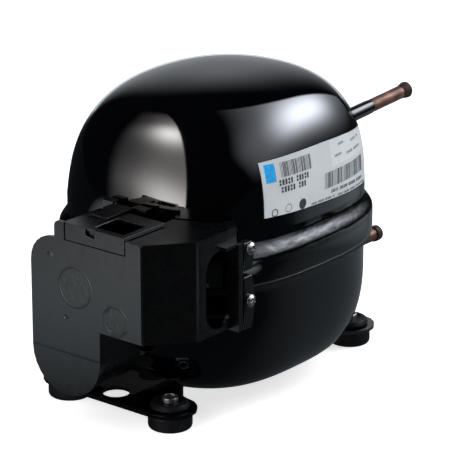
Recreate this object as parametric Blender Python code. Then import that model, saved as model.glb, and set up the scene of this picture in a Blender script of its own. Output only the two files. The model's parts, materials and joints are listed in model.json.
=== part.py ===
"""Hermetic reciprocating compressor, as an assembly of its real pieces.

Lengths are in millimetres here and are turned to metres as each mesh is made.
The origin is the shell's vertical axis at floor level. +X points to the tube end,
-X to the relay cover, -Y to the labelled side.
"""

import math

import bmesh
import bpy
from mathutils import Matrix, Vector

MM = 0.001
GAP = 0.3                      # clearance between pieces that touch

# ---- driving dimensions -------------------------------------------------
SHELL_N = 2.8                  # squareness of the shell's plan
DOME_A, DOME_B = 85.5, 74.0    # half-length and half-width of the upper shell's wall
FLARE = 4.5                    # how far the skirt stands out from that wall
SKIRT_TOP, SKIRT_BOTTOM = 97.5, 84.0
FLARE_END = 108.0              # height at which the flare has run into the dome's wall
DOME_START, DOME_TOP = 115.3, 186.1
DOME_N = 2.9                   # squareness of the dome's profile
CROWN_N = 2.1                  # squareness of the plan near the crown
CROWN_SHIFT = -3.1             # how far the crown leans towards the labelled side
BOWL_A, BOWL_B = 85.0, 73.5    # half-length and half-width of the lower shell's wall
BOWL_TOP, BOWL_BOTTOM = 97.0, 12.0
WALL = 3.0                     # steel thickness
PLAN_POINTS = 40

FEET_X = (-86.6, 83.4)         # bolt lines of the two base plates
FEET_Y = (-36.0, 40.0)
PLATE_BOTTOM, PLATE_TOP = 9.6, 11.8
PLATE_END_R = 15.5
GROMMET_R, GROMMET_TOP = 12.75, 15.6
SLEEVE_R, SLEEVE_BORE, SLEEVE_TOP = 4.75, 3.6, 18.0

LABEL_X = (-44.4, 55.5)
LABEL_LOW, LABEL_SLOPE = 118.6, -0.035         # height of its bottom edge over the middle, and tilt
LABEL_HIGH, LABEL_DROOP = 152.7, (0.0007, 0.0013)  # its top edge sinks towards -X and +X
LABEL_PROUD, LABEL_FILM = 0.35, 0.4            # gap under it and its thickness

COVER_FRONT = -129.5           # face of the relay cover
COVER_T = 2.3
COVER_BOTTOM, COVER_TOP = 64.5, 122.5
COVER_RIGHT, COVER_LEFT = -52.0, 8.5
CHEEK_Y = -71.0                # side wall with the cord entry
TONGUE_Y, TONGUE_R, TONGUE_Z = 3.4, 25.2, 47.5

TERMINAL_Y, TERMINAL_Z = 3.4, 56.0
PIN_R, PIN_CIRCLE = 1.15, 5.0
TUBE_TIP = 129.5
CRANK_THROW = 8.0
ROD_LENGTH = 34.0
CYL_Z = 118.0                  # height of the cylinder's axis
CYL_R = 12.0
HEAD_BOLT = 16.5               # half the spacing of the head bolts
SPRING_X, SPRING_Y = 44.0, 36.0
SPRING_BOTTOM, SPRING_TOP = 22.0, 43.6
STATOR_BOTTOM, STATOR_TOP = 44.0, 82.0

COLOURS = {
    "shell_paint": ((0.012, 0.012, 0.014), 0.12, 0.0),
    "black_plastic": ((0.045, 0.047, 0.05), 0.45, 0.0),
    "rubber": ((0.02, 0.02, 0.02), 0.75, 0.0),
    "zinc_steel": ((0.55, 0.55, 0.53), 0.35, 1.0),
    "spring_steel": ((0.05, 0.05, 0.055), 0.4, 1.0),
    "copper": ((0.45, 0.18, 0.10), 0.35, 1.0),
    "plug_rubber": ((0.03, 0.025, 0.025), 0.6, 0.0),
    "label": ((0.85, 0.87, 0.9), 0.4, 0.0),
    "cast_iron": ((0.22, 0.22, 0.22), 0.55, 0.8),
    "laminations": ((0.30, 0.30, 0.32), 0.45, 0.9),
    "winding": ((0.50, 0.16, 0.06), 0.4, 0.6),
    "aluminium": ((0.62, 0.62, 0.63), 0.4, 1.0),
    "steel": ((0.45, 0.45, 0.46), 0.3, 1.0),
    "terminal_steel": ((0.30, 0.30, 0.29), 0.35, 1.0),
    "white_plastic": ((0.72, 0.70, 0.64), 0.5, 0.0),
}


# ---- helpers ------------------------------------------------------------
def clear_scene():
    for obj in list(bpy.data.objects):
        bpy.data.objects.remove(obj, do_unlink=True)


def material(slot):
    made = bpy.data.materials.get(slot)
    if made is None:
        colour, roughness, metallic = COLOURS[slot]
        made = bpy.data.materials.new(slot)
        made.use_nodes = True
        shader = made.node_tree.nodes["Principled BSDF"]
        shader.inputs["Base Color"].default_value = (*colour, 1.0)
        shader.inputs["Roughness"].default_value = roughness
        shader.inputs["Metallic"].default_value = metallic
    return made


def add_object(name, data, slot, parent=None):
    obj = bpy.data.objects.new(name, data)
    bpy.context.scene.collection.objects.link(obj)
    if slot:
        data.materials.append(material(slot))
    if parent:
        obj.parent = parent
        obj.matrix_parent_inverse = Matrix.Translation(-Vector(parent.location))
    return obj


def from_bmesh(name, mesh_data, slot, parent=None, smooth=True):
    bmesh.ops.recalc_face_normals(mesh_data, faces=mesh_data.faces)
    mesh = bpy.data.meshes.new(name)
    mesh_data.to_mesh(mesh)
    mesh_data.free()
    obj = add_object(name, mesh, slot, parent)
    if smooth:
        mesh.shade_smooth()
        mesh.set_sharp_from_angle(angle=math.radians(35))
    return obj


def bridge(mesh_data, rings, closed_ends=True):
    """Skins a list of rings with the same number of points."""
    rows = [[mesh_data.verts.new(Vector(p) * MM) for p in ring] for ring in rings]
    count = len(rows[0])
    for low, high in zip(rows, rows[1:]):
        for i in range(count):
            j = (i + 1) % count
            mesh_data.faces.new((low[i], low[j], high[j], high[i]))
    if closed_ends:
        mesh_data.faces.new(rows[0][::-1])
        mesh_data.faces.new(rows[-1])
    else:
        for i in range(count):
            j = (i + 1) % count
            mesh_data.faces.new((rows[-1][i], rows[-1][j], rows[0][j], rows[0][i]))


def loft(name, rings, slot, parent=None, closed_ends=True):
    mesh_data = bmesh.new()
    bridge(mesh_data, rings, closed_ends)
    return from_bmesh(name, mesh_data, slot, parent)


def turned(name, profile, slot, centre=(0, 0, 0), axis="Z", sides=24, parent=None):
    """Turns a closed (radius, height) profile. It may touch the axis at its first and last points."""
    mesh_data = bmesh.new()
    solid = profile[0][0] == 0
    edge_points = profile[1:-1] if solid else profile
    rings = []
    for radius, height in edge_points:
        ring = []
        for i in range(sides):
            angle = 2 * math.pi * i / sides
            ring.append((radius * math.cos(angle), radius * math.sin(angle), height))
        rings.append(ring)
    bridge(mesh_data, rings, solid)
    turn = {"Z": Matrix(), "X": Matrix.Rotation(math.pi / 2, 4, "Y"),
            "Y": Matrix.Rotation(-math.pi / 2, 4, "X")}[axis]
    bmesh.ops.transform(mesh_data, matrix=Matrix.Translation(Vector(centre) * MM) @ turn,
                        verts=mesh_data.verts)
    return from_bmesh(name, mesh_data, slot, parent)


def rod(name, radius, start, end, slot, centre=(0, 0, 0), axis="Z", sides=20, parent=None):
    profile = [(0, start), (radius, start), (radius, end), (0, end)]
    return turned(name, profile, slot, centre, axis, sides, parent)


def prism(name, outline, low, high, slot, plane="XY", parent=None):
    """Extrudes an outline in the given plane from low to high along the third axis."""
    place = {"XY": lambda u, v, w: (u, v, w), "XZ": lambda u, v, w: (u, w, v),
             "YZ": lambda u, v, w: (w, u, v)}[plane]
    rings = [[place(u, v, w) for u, v in outline] for w in (low, high)]
    return loft(name, rings, slot, parent)


def block(name, low, high, slot, parent=None):
    outline = [(low[0], low[1]), (high[0], low[1]), (high[0], high[1]), (low[0], high[1])]
    return prism(name, outline, low[2], high[2], slot, parent=parent)


def arc(centre, radius, start_deg, end_deg, steps):
    angles = [math.radians(start_deg + (end_deg - start_deg) * i / steps) for i in range(steps + 1)]
    return [(centre[0] + radius * math.cos(a), centre[1] + radius * math.sin(a)) for a in angles]


def rounded(low, high, radius, steps=4):
    """Outline of a rectangle with round corners."""
    corners = ((high[0] - radius, high[1] - radius, 0), (low[0] + radius, high[1] - radius, 90),
               (low[0] + radius, low[1] + radius, 180), (high[0] - radius, low[1] + radius, 270))
    return [p for x, y, turn in corners for p in arc((x, y), radius, turn, turn + 90, steps)]


def boolean(target, tool, operation):
    """Joins or cuts with a helper object, which stays in the file as a wire guide."""
    modifier = target.modifiers.new(f"{operation.lower()}_{tool.name}", "BOOLEAN")
    modifier.object = tool
    modifier.operation = operation
    modifier.solver = "EXACT"
    tool.hide_render = True
    tool.display_type = "WIRE"
    tool.name = f"guide_{tool.name}"


def cut(target, *tools):
    for tool in tools:
        boolean(target, tool, "DIFFERENCE")


def join(target, *tools):
    for tool in tools:
        boolean(target, tool, "UNION")


def tube(name, points, radius, slot, resolution=2, parent=None):
    curve = bpy.data.curves.new(name, "CURVE")
    curve.dimensions = "3D"
    curve.bevel_depth = radius * MM
    curve.bevel_resolution = resolution
    curve.use_fill_caps = True
    spline = curve.splines.new("POLY")
    spline.points.add(len(points) - 1)
    for spot, point in zip(spline.points, points):
        spot.co = (*(Vector(point) * MM), 1)
    return add_object(name, curve, slot, parent)


def joint_axis(name, place):
    """Empty on a joint's axis, which the moving pieces hang from."""
    empty = add_object(name, None, None)
    empty.location = Vector(place) * MM
    return empty


# ---- shell --------------------------------------------------------------
def plan(a, b, height, squareness=SHELL_N, middle_y=0.0):
    """Superellipse ring of half-sizes a and b."""
    power = 2 / squareness
    ring = []
    for i in range(PLAN_POINTS):
        angle = 2 * math.pi * i / PLAN_POINTS
        c, s = math.cos(angle), math.sin(angle)
        ring.append((a * math.copysign(abs(c) ** power, c),
                     middle_y + b * math.copysign(abs(s) ** power, s), height))
    return ring


def dome_rings(inset):
    """Rings of the domed cover, from the start of the dome up to the crown."""
    steps = 8
    rings = []
    for i in range(steps + 1):
        turn = math.pi / 2 * i / (steps + 0.35)
        shrink = math.cos(turn) ** (2 / DOME_N)
        rise = math.sin(turn) ** (2 / DOME_N)
        height = DOME_START + (DOME_TOP - inset - DOME_START) * rise
        squareness = SHELL_N + (CROWN_N - SHELL_N) * rise
        rings.append(plan((DOME_A - inset) * shrink, (DOME_B - inset) * shrink, height, squareness,
                          CROWN_SHIFT * rise))
    return rings


def skirt_rings(inset):
    """Rings of the flared skirt, bottom first. The flare is a quarter wave."""
    rings = [plan(DOME_A + FLARE - inset, DOME_B + FLARE - inset, SKIRT_BOTTOM)]
    steps = 4
    for i in range(steps + 1):
        share = i / steps
        out = FLARE * (0.5 + 0.5 * math.cos(math.pi * share)) - inset
        height = SKIRT_TOP + (FLARE_END - SKIRT_TOP) * share
        rings.append(plan(DOME_A + out, DOME_B + out, height))
    return rings


def hollow(name, outer, inner, slot):
    """Shell between an outer and an inner stack of rings, joined at the open rim."""
    mesh_data = bmesh.new()
    rows = inner[::-1] + outer
    bridge(mesh_data, rows, closed_ends=True)
    return from_bmesh(name, mesh_data, slot)


def make_upper_shell():
    return hollow("upper_shell", skirt_rings(0) + dome_rings(0),
                  skirt_rings(WALL) + dome_rings(WALL), "shell_paint")


def bowl_rings(inset):
    """Rings of the bowl, from its flat bottom up: a quarter superellipse that ends in the rim."""
    sizes = ((0.60, 0.0), (0.72, 0.8), (0.79, 4.0), (0.855, 11.0), (0.92, 21.5), (0.968, 33.0),
             (1.0, 50.0))
    rings = []
    for share, rise in sizes:
        rings.append(plan(BOWL_A * share - inset, BOWL_B * share - inset,
                          BOWL_BOTTOM + rise + inset * max(0.0, 1 - rise / 33)))
    rim = DOME_A + FLARE - WALL - GAP - BOWL_A
    rings.append(plan(BOWL_A - inset, BOWL_B - inset, 76.0))
    rings.append(plan(BOWL_A + rim - inset, BOWL_B + rim - inset, 82.0))
    rings.append(plan(BOWL_A + rim - inset, BOWL_B + rim - inset, BOWL_TOP))
    return rings


def make_lower_shell():
    outer, inner = bowl_rings(0), bowl_rings(WALL)
    mesh_data = bmesh.new()
    bridge(mesh_data, outer + inner[::-1], closed_ends=True)
    return from_bmesh("lower_shell", mesh_data, "shell_paint")


def make_weld_bead():
    """Bead that rounds off the lip between the skirt and the bowl."""
    skirt_out = DOME_A + FLARE - BOWL_A
    section = ((skirt_out, SKIRT_BOTTOM - GAP), (skirt_out - 0.6, 81.4), (skirt_out - 2.3, 79.3),
               (2.0, 78.6), (2.2, SKIRT_BOTTOM - GAP))
    rings = [plan(BOWL_A + out, BOWL_B + out, height) for out, height in section]
    return loft("weld_bead", rings, "shell_paint", closed_ends=False)


def make_base_plate(name, line_x, inward):
    """Flat plate round two feet, with a relief hole and a flange turned up towards the bowl."""
    low_y, high_y = FEET_Y
    outline = arc((line_x, high_y), PLATE_END_R, 0, 180, 8)
    outline += arc((line_x, low_y), PLATE_END_R, 180, 360, 8)
    plate = prism(name, outline, PLATE_BOTTOM, PLATE_TOP, "shell_paint")
    flange_x = line_x + inward * (PLATE_END_R - 1.2)
    rise = [(low_y + 3, PLATE_BOTTOM + 0.5), (low_y + 3, 18.5), (low_y + 12, 20.5),
            (high_y - 12, 20.5), (high_y - 3, 18.5), (high_y - 3, PLATE_BOTTOM + 0.5)]
    flange = prism(f"{name}_flange", rise, flange_x - 1.1, flange_x + 1.1, None, plane="YZ")
    join(plate, flange)
    cut(plate, loft(f"{name}_bowl_room", bowl_rings(-GAP), None))
    middle = (line_x - inward * 2.7, sum(FEET_Y) / 2, 0)
    cut(plate, rod(f"{name}_relief", 8.1, 0, 30, None, middle, sides=20))
    for index, y in enumerate(FEET_Y):
        hole = rod(f"{name}_seat_{index}", 8.3, 0, 30, None, (line_x, y, 0), sides=16)
        cut(plate, hole)
    return plate


def make_feet():
    """Rubber grommet, waisted where it passes through the plate, round a steel sleeve."""
    profile = [(SLEEVE_R + GAP, 0), (GROMMET_R - 0.8, 0), (GROMMET_R, 1.0),
               (GROMMET_R, PLATE_BOTTOM - GAP), (8.0, PLATE_BOTTOM - GAP), (8.0, PLATE_TOP + GAP),
               (11.25, PLATE_TOP + GAP), (11.25, GROMMET_TOP - 1.2), (10.2, GROMMET_TOP),
               (SLEEVE_R + GAP, GROMMET_TOP)]
    sleeve = [(SLEEVE_BORE, 0.4), (SLEEVE_R, 0.4), (SLEEVE_R, SLEEVE_TOP), (SLEEVE_BORE, SLEEVE_TOP)]
    places = [(x, y, 0) for x in FEET_X for y in FEET_Y]
    for number, place in enumerate(places, start=1):
        turned(f"grommet_{number}", profile, "rubber", place, sides=20)
        turned(f"foot_sleeve_{number}", sleeve, "zinc_steel", place, sides=16)


# ---- tubes --------------------------------------------------------------
TUBES = {                      # start, end, outer radius, bore radius
    "process_tube": ((66.0, -44.0, 147.98), (TUBE_TIP - 7.02, -42.6, 150.5), 3.97, 3.0),
    "suction_tube": ((76.0, -40.0, 65.0), (100.5, -40.0, 65.0), 4.0, 3.1),
    "discharge_tube": ((76.0, 40.0, 65.0), (100.5, 40.0, 65.0), 3.175, 2.3),
}


def aim(obj, start, end, place):
    """Turns a mesh made along Z so that it runs from start to end, and moves it to its place."""
    line = Vector(end) - Vector(start)
    turn = Vector((0, 0, 1)).rotation_difference(line).to_matrix().to_4x4()
    obj.data.transform(Matrix.Translation(Vector(place) * MM) @ turn)


def make_tubes(upper_shell, lower_shell):
    for name, (start, end, radius, bore) in TUBES.items():
        length = (Vector(end) - Vector(start)).length
        pipe = turned(name, [(bore, 0), (radius, 0), (radius, length), (bore, length)], "copper",
                      sides=16)
        hole = rod(f"{name}_hole", radius + GAP + 0.1, -12, 22, None, sides=16)
        for obj in (pipe, hole):
            aim(obj, start, end, start)
        cut(upper_shell if start[2] > DOME_START else lower_shell, hole)


def make_plugs():
    """Push-in plugs that keep the open tube ends clean: a stem in the bore and a head outside."""
    heads = {"process": (0.0, 1.05, 6.8), "suction": (0.8, 0.8, 5.0), "discharge": (0.8, 0.8, 5.0)}
    for service, (proud, flare, length) in heads.items():
        start, end, radius, bore = TUBES[f"{service}_tube"]
        pivot = joint_axis(f"{service}_plug_axis", end)
        stem, wide = bore - GAP, radius + flare
        profile = [(0, -6.0), (stem, -6.0), (stem, GAP), (radius + proud, GAP),
                   (wide, length - 0.8), (wide - 0.5, length), (0, length)]
        plug = turned(f"{service}_plug", profile, "plug_rubber", sides=16)
        aim(plug, start, end, end)
        plug.parent = pivot
        plug.matrix_parent_inverse = Matrix.Translation(-Vector(pivot.location))


# ---- label --------------------------------------------------------------
def side_point(x, height, offset):
    """Point on the labelled side of the dome, at a distance outside it."""
    share = (height - DOME_START) / (DOME_TOP - DOME_START)
    shrink = (1 - share ** DOME_N) ** (1 / DOME_N)
    squareness = SHELL_N + (CROWN_N - SHELL_N) * share
    a, b = DOME_A * shrink + offset, DOME_B * shrink + offset
    return (x, CROWN_SHIFT * share - b * (1 - abs(x / a) ** squareness) ** (1 / squareness), height)


def make_label():
    """Flat sheet wrapped over the dome, which makes its edges tilt and droop."""
    rows, columns = 5, 12
    rings = []
    for i in range(columns + 1):
        x = LABEL_X[0] + (LABEL_X[1] - LABEL_X[0]) * i / columns
        low = LABEL_LOW + LABEL_SLOPE * x
        high = LABEL_HIGH - LABEL_DROOP[x > 0] * x * x
        heights = [low + (high - low) * row / rows for row in range(rows + 1)]
        near = [side_point(x, z, LABEL_PROUD) for z in heights]
        far = [side_point(x, z, LABEL_PROUD + LABEL_FILM) for z in heights]
        rings.append(near + far[::-1])
    return loft("label", rings, "label")


# ---- electrical end -----------------------------------------------------
def pin_place(number):
    """Centre line of one of the terminal's three pins, the first of them uppermost."""
    angle = math.radians(90 + 120 * number)
    return (0, TERMINAL_Y + PIN_CIRCLE * math.cos(angle), TERMINAL_Z + PIN_CIRCLE * math.sin(angle))


def make_terminal(lower_shell):
    spot = (0, TERMINAL_Y, TERMINAL_Z)
    cup = [(0, -80.6), (11.5, -80.6), (11.5, -86.0), (14.0, -86.4), (14.0, -87.6), (8.0, -87.6),
           (8.0, -87.0), (0, -87.0)]
    body = turned("hermetic_terminal", cup, "terminal_steel", spot, "X", 20)
    cut(lower_shell, rod("terminal_hole", 12.2, -95, -70, None, spot, "X", 20))
    for number in range(3):
        join(body, rod(f"pin_{number}", PIN_R, -97.5, -72.0, None, pin_place(number), "X", 8))


def make_fence():
    """Bracket on the shell that locates the cover, with tabs along its top edge."""
    outline = [(-34, 81), (12, 81), (12, 119), (8, 122), (8, 127.5), (0, 127.5), (0, 122),
               (-14, 122), (-14, 127.5), (-24, 127.5), (-24, 122), (-34, 119)]
    fence = prism("terminal_fence", outline, -92.2, -90.9, "shell_paint", plane="YZ")
    for number, (left, right) in enumerate(((-24, -14), (0, 8))):
        tab = block(f"fence_tab_{number}", (-92.2, left, 126.3), (-86.8, right, 127.5), None)
        join(fence, tab)
    cut(fence, rod("earth_hole", 2.1, -100, -80, None, (0, -26, 100), "X", 16))


def make_relay():
    """Relay block and round overload protector, both pushed on the terminal's pins."""
    pivot = joint_axis("start_relay_axis", (-89, TERMINAL_Y, TERMINAL_Z))
    relay = prism("start_relay", rounded((-15, 58.4), (21, 80.5), 2.5, 2), -113, -88.6,
                  "white_plastic", plane="YZ", parent=pivot)
    outline = rounded((TERMINAL_Y - 9.5, TERMINAL_Z - 3), (TERMINAL_Y + 9.5, TERMINAL_Z + 14), 1, 1)
    cut(relay, prism("relay_relief", outline, -93, -80, None, plane="YZ"))
    cut(relay, rod("relay_socket", PIN_R + 0.5, -99, -80, None, pin_place(0), "X", 12))
    base = joint_axis("overload_axis", (-89, TERMINAL_Y, TERMINAL_Z))
    overload = rod("overload_protector", 12.0, -111, -98.2, "black_plastic",
                   (0, TERMINAL_Y, 45.6), "X", 24, base)
    join(overload, block("overload_blade", (-111, TERMINAL_Y - 7, 46), (-88.6, TERMINAL_Y + 7, 57.6),
                         None))
    for number in (1, 2):
        cut(overload, rod(f"overload_socket_{number}", PIN_R + 0.5, -99, -80, None,
                          pin_place(number), "X", 12))


def cover_face_outline():
    """Front plate: main panel, the step under the lid's ear, and the hanging round tongue."""
    outline = arc((TONGUE_Y, TONGUE_Z), TONGUE_R, 180, 360, 14)
    outline += arc((TONGUE_Y + TONGUE_R - 16.2, 98.5), 16.2, 0, 90, 6)
    outline += [(10.6, 114.7)]
    outline += arc((7.4, 121.6), 3.2, 0, 90, 3)
    outline += [(3.3, 124.8), (3.3, 114.5), (-41.3, 114.5), (-41.3, 123.0)]
    outline += arc((COVER_RIGHT + 2, 121.0), 2, 90, 180, 2)
    outline += [(COVER_RIGHT, COVER_BOTTOM + 1.2), (TONGUE_Y - TONGUE_R, COVER_BOTTOM + 1.2)]
    return outline


def tongue_outline(inset):
    """Outline of the housing behind the tongue, set in from the face plate's edge."""
    radius = TONGUE_R - inset
    outline = arc((TONGUE_Y, TONGUE_Z), radius, 180, 360, 14)
    outline += arc((TONGUE_Y + TONGUE_R - 16.2, 97.5), 16.2 - inset, 0, 90, 4)
    return outline + [(TONGUE_Y - radius, 113.7 - inset)]


def make_cover(parent):
    """Open-backed moulded box with the face plate, a cord entry in its side and a top opening."""
    front = COVER_FRONT + COVER_T
    box_plan = [(front, COVER_LEFT), (front, COVER_RIGHT + 0.8), (-105.4, -69.4), (-104.4, -70.1),
                (-103.1, -70.7), (-101.4, CHEEK_Y), (-70.4, CHEEK_Y), (-60, -60), (-60, COVER_LEFT)]
    cover = prism("relay_cover", box_plan[::-1], COVER_BOTTOM, COVER_TOP, "black_plastic",
                  parent=parent)
    inner_plan = [(front - 0.05, COVER_LEFT - COVER_T), (front - 0.05, COVER_RIGHT + 2.2),
                  (-102.7, CHEEK_Y + COVER_T), (-50, CHEEK_Y + COVER_T), (-50, COVER_LEFT - COVER_T)]
    cavity = prism("cover_cavity", inner_plan[::-1], COVER_BOTTOM + COVER_T, COVER_TOP - COVER_T, None)
    clearance = loft("cover_shell_clearance",
                     [plan(DOME_A + FLARE + 0.6, DOME_B + FLARE + 0.6, z) for z in (40, 105)]
                     + [plan(DOME_A + 1.5, DOME_B + 1.5, z) for z in (114, 130)], None)
    fence_room = block("cover_fence_room", (-93.4, -36, 60), (-70, 14, 130), None)
    face = prism("cover_face", cover_face_outline(), COVER_FRONT, front, None, plane="YZ")
    lid_opening = block("cover_lid_opening", (-124, -36, 110), (-96, 1, 130), None)
    house = prism("cover_house", tongue_outline(1.5), front - 0.5, -93.2, None, plane="YZ")
    house_cavity = prism("cover_house_cavity", tongue_outline(1.5 + COVER_T), front, -60, None,
                         plane="YZ")
    entry = prism("cover_entry", rounded((-97, 67.2), (-74.5, 112.5), 11.2, 5), -80, -66, None,
                  plane="XZ")
    cheek = block("cover_cheek", (-74.2, -75.6, 62.5), (-70.4, -67, 113.6), None)
    lip = block("cover_lip", (-84, -74.5, 112.5), (-70.4, -67, 114.2), None)
    join(cover, house)
    cut(cover, cavity, house_cavity, clearance, fence_room)
    join(cover, face, cheek, lip)
    cut(cover, lid_opening, entry)
    return cover


def make_lid(parent):
    """Lid that closes the top opening, with a flap that hangs over the face plate."""
    top = COVER_TOP + GAP
    lid = block("cover_lid", (-128.2, -40.6, top), (-95, 2.6, top + 2.0), "black_plastic", parent)
    flap_outline = [(-40.6, 114.9), (2.6, 114.9), (2.6, top + 2.0), (-12.6, top + 2.0),
                    (-12.6, 120.6), (-18.8, 119.4), (-18.8, top + 2.0), (-40.6, top + 2.0)]
    join(lid, prism("lid_flap", flap_outline, COVER_FRONT, -127.5, None, plane="YZ"))
    cut(lid, block("lid_window", (-124.5, -36.5, 120), (-106, -15.5, 130), None),
        block("lid_clip_slot", (-113.4, -13.8, 120), (-110.2, 0, 130), None))
    return lid


def make_clip(parent):
    """Spring strip that hooks over the fence and holds the lid down."""
    profile = [(-112.2, 121.4), (-111.2, 121.4), (-111.2, 125.1), (-90.4, 125.1), (-90.4, 122.6),
               (-89.4, 122.6), (-89.4, 126.1), (-112.2, 126.1)]
    return prism("retaining_clip", profile, -13.2, -0.6, "spring_steel", plane="XZ", parent=parent)


def crescent(low, high, bulge):
    """Cord clamp outline in X and Z: two arcs that bulge away from the cord entry."""
    steps = 6
    inner, outer = [], []
    for i in range(steps + 1):
        share = i / steps
        z = low + (high - low) * share
        swell = bulge * math.sin(math.pi * share)
        inner.append((-70.1 + 0.35 * swell, z))
        outer.append((-62.8 + swell * 0.7, z))
    return outer + inner[::-1]


def make_clamps(parent):
    upper = prism("cord_clamp_upper", crescent(97.0, 113.4, 2.4), -76.0, -71.1, "black_plastic",
                  plane="XZ", parent=parent)
    lower = prism("cord_clamp_lower", crescent(62.5, 93.5, 4.0), -76.0, -71.1, "black_plastic",
                  plane="XZ", parent=parent)
    for number, (clamp, z) in enumerate(((upper, 109.4), (lower, 78.8))):
        place = (-64.9, 0, z)
        cut(clamp, rod(f"clamp_hole_{number}", 1.9, -82, -60, None, place, "Y", 12))
        head = turned(f"clamp_screw_{number + 1}",
                      [(0, -78.3), (2.2, -78.3), (3.7, -77.2), (3.7, -76.3), (1.5, -76.3),
                       (1.5, -71.0), (0, -71.0)], "zinc_steel", place, "Y", 20, parent)
        cut(head, block(f"cross_{number}", (-65.3, -80, z - 2), (-64.5, -77.5, z + 2), None),
            block(f"cross_b_{number}", (-66.9, -80, z - 0.4), (-62.9, -77.5, z + 0.4), None))


# ---- pump and motor -----------------------------------------------------
def four_corners(half_x, half_y, middle=(0, 0)):
    """Numbered centres at the four corners of a rectangle."""
    signs = ((-1, -1), (1, -1), (-1, 1), (1, 1))
    return [(number + 1, middle[0] + x * half_x, middle[1] + y * half_y)
            for number, (x, y) in enumerate(signs)]


def make_motor(pump, crank):
    stack = prism("stator_core", rounded((-52, -52), (52, 52), 20, 5), STATOR_BOTTOM, STATOR_TOP,
                  "laminations", parent=pump)
    cut(stack, rod("stator_bore", 28.5, 20, 100, None, sides=40))
    for number, x, y in four_corners(SPRING_X, SPRING_Y):
        cut(stack, rod(f"stator_hole_{number}", 2.8, 20, 100, None, (x, y, 0), sides=10))
    for name, low, high in (("lower_winding", 31.5, STATOR_BOTTOM - GAP),
                            ("upper_winding", STATOR_TOP + GAP, 93.5)):
        middle = (low + high) / 2
        turned(name, [(30.5, low + 2), (32.5, low), (41.5, low), (44, middle), (41.5, high),
                      (32.5, high), (30.5, high - 2)], "winding", sides=24, parent=pump)
    turned("rotor", [(14.8, 40), (22, 40), (22, 37), (26, 37), (26, 43), (27.9, 43), (27.9, 83),
                     (26, 83), (26, 88), (18, 88), (18, 83), (14.8, 83)], "aluminium", sides=28,
           parent=crank)
    for number, x, y in four_corners(SPRING_X, SPRING_Y):
        turned(f"stator_bolt_{number}", [(0, 35.0), (3.2, 35.0), (4.4, SPRING_TOP - 1.8),
                                         (6.9, SPRING_TOP - 1.8), (6.9, SPRING_TOP),
                                         (2.5, SPRING_TOP), (2.5, 94.0), (0, 94.0)],
               "steel", (x, y, 0), sides=12, parent=pump)


def make_block(pump):
    """Frame plate with legs, the main bearing hub and the cylinder."""
    frame = prism("cylinder_block", rounded((-52, -45), (52, 45), 10, 3), 96, 103.5, "cast_iron",
                  parent=pump)
    join(frame, rod("block_hub", 14.0, 62, 104, None, sides=28))
    for number, x, y in four_corners(SPRING_X, SPRING_Y):
        join(frame, rod(f"block_leg_{number}", 6, STATOR_TOP + GAP, 100, None, (x, y, 0), sides=12))
    join(frame, block("block_saddle", (21, -17, 100), (50, 17, 112), None),
         rod("block_cylinder", 17.5, 21, 48, None, (0, 0, CYL_Z), "X", 24),
         prism("block_flange", rounded((-22, CYL_Z - 22), (22, CYL_Z + 22), 4, 1), 47, 52, None,
               plane="YZ"))
    cut(frame, rod("cylinder_bore", CYL_R, 10, 60, None, (0, 0, CYL_Z), "X", 32),
        rod("bearing_bore", 8.35, 40, 120, None, sides=24),
        rod("web_room", 19.5, 104.0, 112.7, None, sides=24))
    for number, x, y in four_corners(SPRING_X, SPRING_Y):
        cut(frame, rod(f"block_thread_{number}", 2.85, 80, 95.0, None, (x, y, 0), sides=10))
    for number, y, z in four_corners(HEAD_BOLT, HEAD_BOLT, (0, CYL_Z)):
        cut(frame, rod(f"flange_thread_{number}", 2.5, 46.5, 60, None, (0, y, z), "X", 8))
    return frame


def make_crank(crank):
    shaft = rod("crankshaft", 8.0, 33, 104.5, "steel", sides=28, parent=crank)
    web = arc((0, 0), 18.6, 110, 250, 12) + arc((CRANK_THROW, 0), 8.8, -60, 60, 6)
    join(shaft, prism("crank_web", web, 104.2, 110.4, None),
         rod("crank_shoulder", 11.0, 104.1, 105.0, None, sides=28),
         rod("crank_stub", 6.2, 110.0, 112.6, None, (CRANK_THROW, 0, 0), sides=24))
    cut(shaft, rod("oil_bore", 4.2, 20, 60, None, sides=16))
    turned("oil_pickup", [(1.6, 19.0), (2.6, 19.0), (3.9, 26), (3.9, 46), (2.9, 46), (2.9, 27)],
           "steel", sides=16, parent=crank)


def make_piston_set(piston, rod_pivot):
    """Piston at top dead centre, with its wrist pin, rod and the crank pin in the rod's big end."""
    wrist_x = CRANK_THROW + ROD_LENGTH
    body = rod("piston", CYL_R - 0.35, wrist_x - 6, wrist_x + 8.5, "steel", (0, 0, CYL_Z), "X", 32,
               piston)
    cut(body, rod("piston_hollow", 8.4, wrist_x - 12, wrist_x + 5.2, None, (0, 0, CYL_Z), "X", 24),
        rod("piston_pin_bore", 3.35, CYL_Z - 20, CYL_Z + 20, None, (wrist_x, 0, 0), sides=16))
    rod("wrist_pin", 3.0, CYL_Z - 10.6, CYL_Z + 10.6, "steel", (wrist_x, 0, 0), sides=16,
        parent=piston)
    con = rod("connecting_rod", 10.4, 113.0, 123.0, "aluminium", (CRANK_THROW, 0, 0), sides=28,
              parent=rod_pivot)
    join(con, block("rod_shank", (CRANK_THROW + 6, -3.4, 114.6), (wrist_x - 3, 3.4, 121.4), None),
         rod("rod_small_end", 5.2, 113.6, 122.4, None, (wrist_x, 0, 0), sides=20))
    cut(con, rod("big_end_bore", 6.6, 105, 130, None, (CRANK_THROW, 0, 0), sides=24),
        rod("small_end_bore", 3.35, 105, 130, None, (wrist_x, 0, 0), sides=16))
    turned("crank_pin", [(0, 113.0), (6.2, 113.0), (6.2, 123.3), (8.6, 123.3), (8.6, 124.8),
                         (0, 124.8)], "steel", (CRANK_THROW, 0, 0), sides=24, parent=rod_pivot)


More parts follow.
